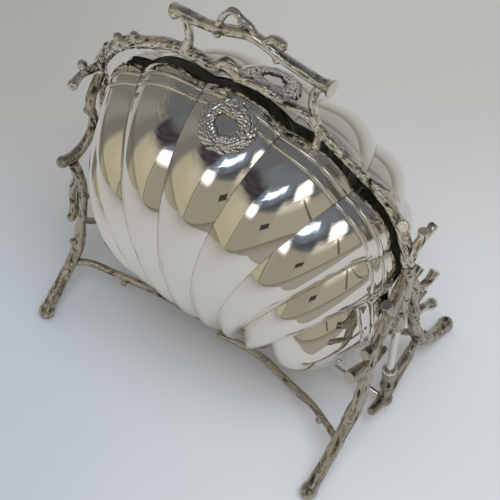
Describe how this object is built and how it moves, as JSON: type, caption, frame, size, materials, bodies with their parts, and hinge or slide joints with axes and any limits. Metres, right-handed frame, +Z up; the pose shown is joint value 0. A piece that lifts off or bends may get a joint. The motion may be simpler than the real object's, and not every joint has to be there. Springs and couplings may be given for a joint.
{
  "type": "folding biscuit box",
  "caption": "Folding biscuit box: two fluted shell-shaped half bowls hinged at the foot of a cast frame of bark-textured branches with a branch handle.",
  "frame": {"origin": "centre of the outer box at the plane of the feet", "axes": "+Z up; the hinge rod lies along X with right at +X; the half bowl with the visible wreath faces -Y"},
  "size_m": [0.272, 0.1918, 0.3237],
  "materials": {
    "polished": "mirror-polished silver plate",
    "smooth": "smooth silver plate with light toning",
    "bark": "cast bark texture, toned silver plate",
    "dark": "dark toned silver plate"
  },
  "bodies": {
    "frame": {"arch_branch": "bark", "handle_bar": "smooth", "handle_strut_left": "bark", "handle_strut_right": "bark", "handle_twig_bent": "smooth", "handle_twig_bud": "smooth", "post_branch_left": "bark", "post_branch_right": "bark", "post_foot_left": "dark", "post_foot_right": "dark", "post_rod_left": "polished", "post_rod_right": "polished", "rod_collar_left": "smooth", "rod_collar_right": "smooth", "rear_leg_left": "bark", "rear_leg_right": "bark", "rear_brace_left": "bark", "rear_brace_right": "bark", "end_twig_left": "dark", "end_twig_right": "dark", "front_leg_left": "bark", "front_leg_right": "bark", "crook_twig_left": "bark", "spur_twig_left": "bark", "fork_twig_left": "bark", "fork_twig_right": "bark", "side_twig_left": "bark", "side_twig_right": "bark", "curved_twig_right": "bark", "knob_twig_right": "bark", "front_stretcher_left": "bark", "front_stretcher_right": "bark", "rear_stretcher_left": "bark", "rear_stretcher_right": "bark", "hinge_rod": "smooth"},
    "front_bowl": {"front_shell": "polished", "front_wreath": "bark", "front_hinge_leaf": "smooth"},
    "rear_bowl": {"rear_shell": "polished", "rear_wreath": "bark", "rear_hinge_leaf": "smooth"}
  },
  "joints": [
    {"name": "front_bowl_fold", "type": "hinge", "parent": "frame", "child": "front_bowl", "pos_m": [0, 0, 0.018], "axis": [1, 0, 0], "range_deg": [0, 42]},
    {"name": "rear_bowl_fold", "type": "hinge", "parent": "frame", "child": "rear_bowl", "pos_m": [0, 0, 0.018], "axis": [-1, 0, 0], "range_deg": [0, 42]}
  ]
}
